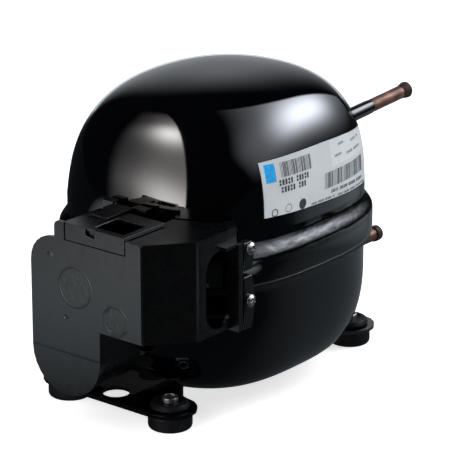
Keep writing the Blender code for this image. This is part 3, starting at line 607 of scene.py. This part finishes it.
def make_weld_bead():
    """Bead with a slightly uneven height round the joint."""
    bead = bmesh.new()
    skirt_out = DOME_A + FLARE - BOWL_A
    section = rounded_profile([(skirt_out - 0.2, SKIRT_BOTTOM - GAP), (skirt_out - 0.6, 81.4),
                               (skirt_out - 2.3, 79.3), (2.0, 78.6), (2.2, SKIRT_BOTTOM - GAP)], 1.4)
    rings = []
    for out, height in section:
        ring = plan(BOWL_A + out, BOWL_B + out, height)
        rings.append([(x, y, z + 0.12 * math.sin(i * 1.9)) for i, (x, y, z) in enumerate(ring)])
    skin(bead, rings, "joined")
    finish_piece("weld_bead", bead, MATERIALS["weld_paint"], "housing", ["weld_bead"])


# ---- label --------------------------------------------------------------
LABEL_SLOPE = -0.035           # tilt of its bottom edge
LABEL_DROOP = (0.0007, 0.0013)  # how its top edge sinks towards -X and +X
LABEL_PROUD = 0.75             # how far its face stands out from the shell
INK = 0.05                     # thickness of the print
INK_LOW = LABEL_PROUD + 0.01   # the print's underside, just clear of the label's face
LABEL_FILM = 0.4               # thickness of the label


def side_point(x, height, offset):
    """Point on the labelled side of the dome, at a distance outside it."""
    share = (height - DOME_START) / (DOME_TOP - DOME_START)
    shrink = (1 - share ** DOME_N) ** (1 / DOME_N)
    squareness = SHELL_N + (CROWN_N - SHELL_N) * share
    a, b = DOME_A * shrink + offset, DOME_B * shrink + offset
    return (x, CROWN_SHIFT * share - b * (1 - abs(x / a) ** squareness) ** (1 / squareness), height)


def label_edges(x):
    """Heights of the label's bottom and top edges."""
    return (LABEL_LOW.z + LABEL_SLOPE * (x - LABEL_HIGH.x),
            LABEL_HIGH.z - LABEL_DROOP[x > 0] * x * x)


def patch(mesh_data, x_range, z_range, near, far, step=2.5):
    """Adds a thin closed patch between two distances from the shell. The corners are (x, z)."""
    columns = max(1, round((x_range[1] - x_range[0]) / step))
    rows = max(1, round((z_range[1] - z_range[0]) / step))
    rings = []
    for c in range(columns + 1):
        x = x_range[0] + (x_range[1] - x_range[0]) * c / columns
        low, high = label_edges(x)
        heights = [z_range[0] + (z_range[1] - z_range[0]) * r / rows for r in range(rows + 1)]
        heights = [min(max(z, low), high) for z in heights]
        rings.append([side_point(x, z, near) for z in heights]
                     + [side_point(x, z, far) for z in heights[::-1]])
    skin(mesh_data, rings)


def printed(mesh_data, x_range, z_range):
    patch(mesh_data, x_range, z_range, INK_LOW, INK_LOW + INK)


def bar_code(mesh_data, x_range, z_range, bars):
    """Generic bars of uneven width."""
    step = (x_range[1] - x_range[0]) / bars
    for i in range(bars):
        width = step * (0.25 + 0.55 * abs(math.sin(i * 2.7) * math.cos(i * 1.3)))
        start = x_range[0] + step * i
        printed(mesh_data, (start, start + width), z_range)


def dash_line(mesh_data, x_range, middle_z, height, dashes, fall=0.0):
    """Row of small broken blocks that stands for a line of print. It falls along its length."""
    step = (x_range[1] - x_range[0]) / dashes
    for i in range(dashes):
        if i % 7 == 5:
            continue
        start, width = x_range[0] + step * i, step * (0.62 + 0.14 * math.sin(i * 3.1))
        middle = middle_z - fall * i / dashes
        low, high = middle - height / 2, middle + height / 2
        cuts = ((low, high),) if i % 3 else ((low, low + height * 0.42), (high - height * 0.42, high))
        for cut in cuts:
            printed(mesh_data, (start, start + width), cut)


def disc(mesh_data, x, z, inner, outer):
    """Ring of ink that follows the label's face, or a full disc when its inner radius is small."""
    near, far = INK_LOW, INK_LOW + INK
    rings = []
    for radius, offset in ((inner, near), (outer, near), (outer, far), (inner, far)):
        circle = arc((0, 0), radius, 0, 352.5, 47)
        rings.append([side_point(x + px, z + pz, offset) for px, pz in circle])
    skin(mesh_data, rings, "joined")


def make_label():
    label = bmesh.new()
    columns, rows = 60, 20
    rings = []
    for c in range(columns + 1):
        x = LABEL_LOW.x + (LABEL_HIGH.x - LABEL_LOW.x) * c / columns
        low, high = label_edges(x)
        heights = [low + (high - low) * r / rows for r in range(rows + 1)]
        rings.append([side_point(x, z, LABEL_PROUD - LABEL_FILM) for z in heights]
                     + [side_point(x, z, LABEL_PROUD) for z in heights[::-1]])
    skin(label, rings)
    finish_piece("label", label, MATERIALS["label"], "housing", ["label"], sharp=60)

    sticker = bmesh.new()
    patch(sticker, (11.2, LABEL_HIGH.x - 0.8), (137.4, LABEL_HIGH.z - 0.7), LABEL_PROUD - 0.1,
          LABEL_PROUD + 0.06)
    finish_piece("label_sticker", sticker, label_paper("label_sticker_film", 1.12), "housing",
                 sharp=60)

    black = bmesh.new()
    bar_code(black, (-31.6, -7.0), (141.2, 149.6), 26)
    bar_code(black, (4.6, 48.6), (125.6, 135.0), 34)
    dash_line(black, (-33.6, -9.4), 138.4, 3.3, 11)
    dash_line(black, (-32.4, -12.0), 134.2, 3.3, 9)
    for start, end, z, dashes in ((20, 27.6, 148.4, 6), (35, 46.4, 146.8, 8), (15, 24.2, 142.7, 6),
                                  (28, 46.5, 141.3, 12)):
        dash_line(black, (start, end), z, 1.4, dashes)
    dash_line(black, (11, 48), 122.9, 1.9, 26, 1.2)
    dash_line(black, (-7.5, 14.6), 119.9, 1.3, 22, 0.4)
    dash_line(black, (17.7, 53.5), 119.0, 1.3, 34, 1.0)
    finish_piece("label_print", black, ink("ink_black", (0.03, 0.032, 0.037)), "housing")

    blue = bmesh.new()
    printed(blue, (-42.2, -35.4), (139.6, 149.9))
    finish_piece("label_colour_block", blue, ink("ink_blue", (0.004, 0.30, 0.68)), "housing")

    badge = bmesh.new()
    disc(badge, -15.6, 122.3, 0.02, 3.1)
    disc(badge, -37.6, 122.0, 1.7, 2.3)
    finish_piece("label_badge", badge, ink("ink_grey", (0.03, 0.032, 0.036)), "housing")
    pale = bmesh.new()
    disc(pale, -27.2, 122.6, 2.0, 2.6)
    finish_piece("label_pale_ring", pale, ink("ink_pale", (0.22, 0.23, 0.25)), "housing")


# ---- feet ---------------------------------------------------------------
def make_feet():
    """Grommets with rounded lips, and the rolled steel sleeves that stand in them."""
    for number in range(1, 5):
        low, high = box(f"grommet_{number}")
        sleeve_low, sleeve_high = box(f"foot_sleeve_{number}")
        place = ((low.x + high.x) / 2, (low.y + high.y) / 2, 0)
        radius, top = (high.x - low.x) / 2, high.z
        bore = (sleeve_high.x - sleeve_low.x) / 2 + GAP
        neck_low, neck_high = top - 6.3, top - 3.5
        profile = [(bore, 0), (radius - 0.8, 0), (radius, 1.4), (radius, neck_low - 1.6),
                   (radius - 0.5, neck_low), (8.0, neck_low), (8.0, neck_high),
                   (11.2, neck_high), (11.4, neck_high + 1.0), (10.0, top), (7.2, top),
                   (6.6, top - 0.7), (bore, top - 0.7)]
        rubber_ring = bmesh.new()
        turned(rubber_ring, rounded_profile(profile, 0.8), place)
        finish_piece(f"grommet_{number}", rubber_ring, MATERIALS["rubber"], "housing",
                     [f"grommet_{number}"])
        outside, inside = bore - GAP, bore - GAP - 1.15
        tube_profile = [(inside, sleeve_low.z), (outside, sleeve_low.z),
                        (outside, sleeve_high.z), (inside, sleeve_high.z)]
        sleeve = bmesh.new()
        turned(sleeve, rounded_profile(tube_profile, 0.35), place)
        finish_piece(f"foot_sleeve_{number}", sleeve, MATERIALS["zinc_steel"], "housing",
                     [f"foot_sleeve_{number}"])


# ---- tubes --------------------------------------------------------------
_, PLUG_HIGH = box("process_plug")
TUBES = {                      # start, end, outer radius, bore radius, painted to this X
    "process": ((66.0, -44.0, 147.98), (PLUG_HIGH.x - 7.02, -42.6, 150.5), 3.97, 3.0, 90.5),
    "suction": ((76.0, -40.0, 65.0), (100.5, -40.0, 65.0), 4.0, 3.1, 86.5),
    "discharge": ((76.0, 40.0, 65.0), (100.5, 40.0, 65.0), 3.175, 2.3, 86.5),
}
PLUG_HEADS = {                 # how far the head stands out at its root and at its end, and its length
    "process": (0.0, 1.05, 6.8), "suction": (0.8, 0.8, 5.0), "discharge": (0.8, 0.8, 5.0),
}


def make_tubes():
    for service, (start, end, radius, bore, painted_to) in TUBES.items():
        line = Vector(end) - Vector(start)
        length = line.length
        root = (painted_to - start[0]) - 4
        profile = [(bore, 0), (radius + 0.35, 0), (radius + 0.35, root), (radius + 0.25, root + 3),
                   (radius, root + 5), (radius, length - 0.4), (radius - 0.3, length),
                   (bore, length)]
        pipe = bmesh.new()
        turned(pipe, rounded_profile(profile, 0.5, 3), start, line.normalized(), 48)
        node = f"{service}_tube"
        finish_piece(node, pipe, copper_tube(f"copper_{service}", painted_to), "housing", [node])
        proud, flare, head_length = PLUG_HEADS[service]
        stem, wide = bore - GAP, radius + flare
        closed = [(0.01, -6.0), (stem, -6.0), (stem, GAP), (radius + proud, GAP),
                  (wide, head_length - 0.8), (wide - 0.15, head_length - 0.25),
                  (wide - 0.6, head_length), (0.01, head_length)]
        plug = bmesh.new()
        turned(plug, rounded_profile(closed, 0.3, 3), end, line.normalized(), 48, ends="capped")
        finish_piece(f"{service}_plug", plug, MATERIALS["plug_rubber"], f"{service}_cap",
                     [f"{service}_plug"])


# ---- pieces between the housing and the pump, which ride on no body -----
def wire_along(mesh_data, points, radius, sides=14):
    """Skins a round wire along a path that never points straight up."""
    rings = []
    for i, point in enumerate(points):
        along = points[min(i + 1, len(points) - 1)] - points[max(i - 1, 0)]
        side = along.cross(Vector((0, 0, 1))).normalized()
        over = side.cross(along.normalized())
        circle = arc((0, 0), radius, 0, 360, sides)[:-1]
        rings.append([point + side * x + over * z for x, z in circle])
    skin(mesh_data, rings)


def make_springs():
    """Coil springs between the housing at the bottom and the pump at the top. They ride on no body."""
    turns, steps = 5, 26           # turns of the coil, and points in each turn
    wire = 0.75                    # radius of the wire
    for number in range(1, 5):
        node = f"spring_{number}"
        low, high = box(node)
        middle, radius = (low + high) / 2, (high.x - low.x) / 2 - wire
        bottom, height = low.z + wire, high.z - low.z - 2 * wire
        points = []
        for i in range(turns * steps + 1):
            angle = 2 * math.pi * i / steps
            points.append(Vector((middle.x + radius * math.cos(angle),
                                  middle.y + radius * math.sin(angle),
                                  bottom + height * i / (turns * steps))))
        coil = bmesh.new()
        wire_along(coil, points, wire)
        piece = finish_piece(node, coil, MATERIALS["steel"], None, [node])
        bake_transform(piece)


def make_discharge_line():
    """Looped line from the housing's tube to the pump's cylinder head. It rides on no body."""
    line = bmesh.new()
    line.from_mesh(frame["nodes"]["discharge_line"].data)
    bmesh.ops.scale(line, vec=(1 / MM, 1 / MM, 1 / MM), verts=line.verts)
    piece = finish_piece("discharge_line", line, MATERIALS["copper"], None, ["discharge_line"],
                         sharp=60)
    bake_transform(piece)


# ---- carried-over nodes -------------------------------------------------
def soften(node, width, material, segments=2):
    """Gives a CAD node broken edges, smooth shading and its finish."""
    obj = frame["nodes"][node]
    obj.data.materials.clear()
    obj.data.materials.append(material)
    obj.data.shade_smooth()
    weld = obj.modifiers.new("weld", "WELD")
    weld.merge_threshold = 1e-6
    flat = obj.modifiers.new("flat", "DECIMATE")
    flat.decimate_type = "DISSOLVE"
    flat.angle_limit = math.radians(0.5)
    bevel = obj.modifiers.new("bevel", "BEVEL")
    bevel.width = width * MM
    bevel.segments = segments
    bevel.limit_method = "ANGLE"
    bevel.angle_limit = math.radians(28)
    weighted = obj.modifiers.new("weighted", "WEIGHTED_NORMAL")
    weighted.keep_sharp = True
    weighted.weight = 100


def slot_of(node):
    return next(s["material_slot"] for s in frame["record"]["subparts"] if s["node"] == node)


EDGES = {                      # width of each carried-over node's broken edges
    "relay_cover": 0.7, "cover_lid": 0.45, "retaining_clip": 0.2, "cord_clamp_upper": 0.5,
    "cord_clamp_lower": 0.5, "clamp_screw_1": 0.12, "clamp_screw_2": 0.12, "terminal_fence": 0.2,
    "base_plate_cover_end": 0.4, "base_plate_tube_end": 0.4, "cylinder_block": 0.5,
    "cylinder_head": 0.6, "suction_muffler": 0.6, "start_relay": 0.5, "overload_protector": 0.5,
    "rotor": 0.4, "crankshaft": 0.25, "connecting_rod": 0.4,
}


def dress_nodes():
    """Finishes every CAD node that no fine piece replaces."""
    for node, obj in frame["nodes"].items():
        if not obj.hide_render:
            finish = cover_plastic() if node == "relay_cover" else MATERIALS[slot_of(node)]
            soften(node, EDGES.get(node, 0.12), finish)


# ---- studio -------------------------------------------------------------
# the camera's direction and distance, solved from the four feet in the photograph
AZIMUTH, ELEVATION, DISTANCE = math.radians(-51.04), math.radians(18.99), 1615.3
AIM_RIGHT, AIM_UP = 7.125, 84.41  # where the camera aims, right of and above the feet's middle
FEET_MIDDLE = Vector((-1.6, 2.0, 0.0))
LENS = 216.0

BACK = Vector((math.sin(AZIMUTH) * math.cos(ELEVATION), -math.cos(AZIMUTH) * math.cos(ELEVATION),
               math.sin(ELEVATION)))
RIGHT = Vector((math.cos(AZIMUTH), math.sin(AZIMUTH), 0))
UP = BACK.cross(RIGHT)


def make_camera():
    data = bpy.data.cameras.new("camera")
    data.lens = LENS
    data.sensor_width = 36
    data.clip_start, data.clip_end = 0.05, 50
    camera = bpy.data.objects.new("camera", data)
    camera.location = (FEET_MIDDLE + RIGHT * AIM_RIGHT + UP * AIM_UP + BACK * DISTANCE) * MM
    camera.rotation_euler = BACK.to_track_quat("Z", "Y").to_euler()
    bpy.context.scene.collection.objects.link(camera)
    bpy.context.scene.camera = camera


def direction(azimuth, elevation):
    """Unit vector towards an azimuth (0 is -Y, 90 is +X) and an elevation, in degrees."""
    a, e = math.radians(azimuth), math.radians(elevation)
    return Vector((math.sin(a) * math.cos(e), -math.cos(a) * math.cos(e), math.sin(e)))


def studio_plane(name, centre, facing, left, right, bottom, top):
    """Plane at a place in metres whose face points along a direction. It only shows in reflections."""
    mesh = bpy.data.meshes.new(name)
    mesh.from_pydata([(left, bottom, 0), (right, bottom, 0), (right, top, 0), (left, top, 0)], [],
                     [(0, 1, 2, 3)])
    obj = bpy.data.objects.new(name, mesh)
    obj.location = centre
    obj.rotation_euler = facing.to_track_quat("Z", "Y").to_euler()
    bpy.context.scene.collection.objects.link(obj)
    return obj


def light_panel(name, azimuth, elevation, distance, extents, colour, plateau, falls, spots=()):
    """Softbox that only shows in reflections and lets through what is behind it. Its extents are left,
    right, bottom and top. Each fall is an axis, a dark and a bright value, a slope and a curve: its
    light fades between the two values of that coordinate, less the slope times the other coordinate
    and the curve times its square. Its spots are (x, y, half-width, half-height, strength)."""
    facing = direction(azimuth, elevation)
    panel = studio_plane(name, facing * distance, -facing, *extents)
    for flag in ("visible_camera", "visible_diffuse", "visible_shadow", "visible_transmission"):
        setattr(panel, flag, False)
    glow = Finish(name, (0, 0, 0), 1.0)
    strength = None
    for axis, dark, bright, slope, curve in falls:
        across = glow.along("Y" if axis == "X" else "X")
        bent = glow.maths("MULTIPLY", across, glow.maths("MULTIPLY_ADD", across, curve, slope))
        ramp = glow.nodes.new("ShaderNodeMapRange")
        ramp.interpolation_type = "SMOOTHSTEP"
        ramp.inputs["From Min"].default_value = dark
        ramp.inputs["From Max"].default_value = bright
        glow.links.new(glow.maths("SUBTRACT", glow.along(axis), bent), ramp.inputs["Value"])
        share = ramp.outputs["Result"]
        strength = share if strength is None else glow.maths("MULTIPLY", strength, share)
    level = plateau
    for x, y, wide, high, gain in spots:
        squares = glow.ellipse(x, y, wide, high)
        round_spot = glow.maths("EXPONENT", glow.maths("MULTIPLY", squares, -1))
        level = glow.maths("ADD", level, glow.maths("MULTIPLY", round_spot, gain))
    light = glow.emission(glow.maths("MULTIPLY", strength, level), colour)
    glow.surface(glow.both(light, glow.clear()))
    panel.data.materials.append(glow.material)


def area_light(name, azimuth, elevation, distance, size, watts, colour=(1, 1, 1)):
    """Soft light for the matt surfaces. The panels above stand for it in reflections."""
    data = bpy.data.lights.new(name, "AREA")
    data.shape = "DISK"
    data.size = size
    data.energy = watts
    data.color = colour
    light = bpy.data.objects.new(name, data)
    facing = direction(azimuth, elevation)
    light.location = facing * distance
    light.rotation_euler = facing.to_track_quat("Z", "Y").to_euler()
    light.visible_glossy = False
    bpy.context.scene.collection.objects.link(light)


FLOOR_HALF = 8.0
FLOOR_GLOW = 0.72              # keeps the floor white
FLOOR_DARK = 0.02              # how bright the floor looks in the gloss, away from its lit spots
FLOOR_FAR = 0.8                # how bright its far side looks in the gloss
FLOOR_WEDGE = 2.6              # steepness of the sides of that far part
FLOOR_CLEAR = (-0.42, -0.34)   # the X over which the floor fades to clear in the gloss
FLOOR_SPOTS = (                # lit spots of the floor that show in the gloss: x, y, radius, strength
    (-0.38, 0.14, 0.17, 1.15),
    (0.378, -0.234, 0.13, 0.4),
    (0.26, -0.02, 0.22, 0.19),
    (-0.06, -0.33, 0.05, 1.2),
)


def make_floor():
    """Pale floor. It glows a little, so that it stays white. In the gloss it is dark but for its far
    side and a few lit spots, and clear where the left panel stands."""
    mesh = bpy.data.meshes.new("floor")
    half = FLOOR_HALF
    mesh.from_pydata([(-half, -half, 0), (half, -half, 0), (half, half, 0), (-half, half, 0)], [],
                     [(0, 1, 2, 3)])
    floor = bpy.data.objects.new("floor", mesh)
    bpy.context.scene.collection.objects.link(floor)
    finish = Finish("floor_white", (0.92, 0.92, 0.92), 0.9)
    bright = finish.both(finish.shader.outputs["BSDF"], finish.emission(FLOOR_GLOW))
    across = finish.maths("ADD", finish.maths("MULTIPLY", finish.along("X"), RIGHT.x),
                          finish.maths("MULTIPLY", finish.along("Y"), RIGHT.y))
    away = finish.maths("SUBTRACT", finish.maths("MULTIPLY", finish.along("Y"), RIGHT.x),
                        finish.maths("MULTIPLY", finish.along("X"), RIGHT.y))
    sides = finish.maths("MULTIPLY", finish.maths("ABSOLUTE", across), FLOOR_WEDGE)
    wedge = finish.maths("SUBTRACT", away, sides)
    glossy = finish.spread(wedge, 0.0, 0.25, FLOOR_DARK, FLOOR_FAR)
    for x, y, radius, gain in FLOOR_SPOTS:
        spot = finish.spread(finish.ellipse(x, y, radius, radius), 0.0, 2.2, gain, 0)
        glossy = finish.maths("ADD", glossy, spot)
    share_clear = finish.spread(finish.along("X"), *FLOOR_CLEAR, 1, 0)
    gloss = finish.both(finish.emission(glossy, (0.80, 0.93, 1.0)), finish.clear(), share_clear)
    rays = finish.nodes.new("ShaderNodeLightPath")
    finish.surface(finish.both(bright, gloss, rays.outputs["Is Glossy Ray"]))
    floor.data.materials.append(finish.material)


def make_studio():
    make_camera()
    make_floor()
    world = bpy.data.worlds.new("studio")
    bpy.context.scene.world = world
    world.use_nodes = True
    world.node_tree.nodes["Background"].inputs["Color"].default_value = (0.9, 0.95, 1.0, 1)
    world.node_tree.nodes["Background"].inputs["Strength"].default_value = 0.006
    bpy.context.scene.view_settings.view_transform = "Standard"
    # beside the tube end, over the labelled side
    light_panel("panel_right", azimuth=60, elevation=35, distance=1.1,
                extents=(-0.95, 2.4, -0.8, 1.3), colour=(0.91, 0.96, 1.05), plateau=1.15,
                falls=[("X", -0.59, -0.52, 0.83, -0.548), ("X", 2.3, 0.55, 0, 0),
                       ("Y", 1.28, 0.35, 0, 0), ("Y", -0.70, 0.12, 0, 0)],
                spots=[(-0.02, 0.11, 0.4, 0.28, 10.5)])
    # beside the relay cover
    light_panel("panel_left", azimuth=-95, elevation=30, distance=1.2,
                extents=(-0.75, 2.0, -1.4, 1.9), colour=(1.0, 0.97, 0.95), plateau=1.3,
                falls=[("X", -0.41, -0.35, 0.347, 0.276), ("X", 1.15, -0.05, 0, 0.22),
                       ("Y", 1.9, 1.15, 0, 0)],
                spots=[(0.3, 0.72, 0.43, 0.30, 9.3), (0.0, -0.78, 0.9, 0.40, 5.4)])
    # behind: the backdrop
    light_panel("panel_back", azimuth=129, elevation=10, distance=1.6,
                extents=(-1.0, 1.1, -0.8, 1.5), colour=(0.93, 0.97, 1.03), plateau=0.57,
                falls=[("X", -0.85, -0.30, 0, 0), ("X", 0.9, 0.0, 0, 0), ("Y", 1.45, 0.0, 0, 0)])
    area_light("key_right", 55, 40, 1.3, 0.9, 9)
    area_light("key_left", -100, 30, 1.3, 0.9, 9)
    area_light("top", -20, 80, 1.4, 1.0, 7)


make_studio()
make_upper_shell()
make_lower_shell()
make_weld_bead()
make_label()
make_feet()
make_tubes()
make_springs()
make_discharge_line()
dress_nodes()
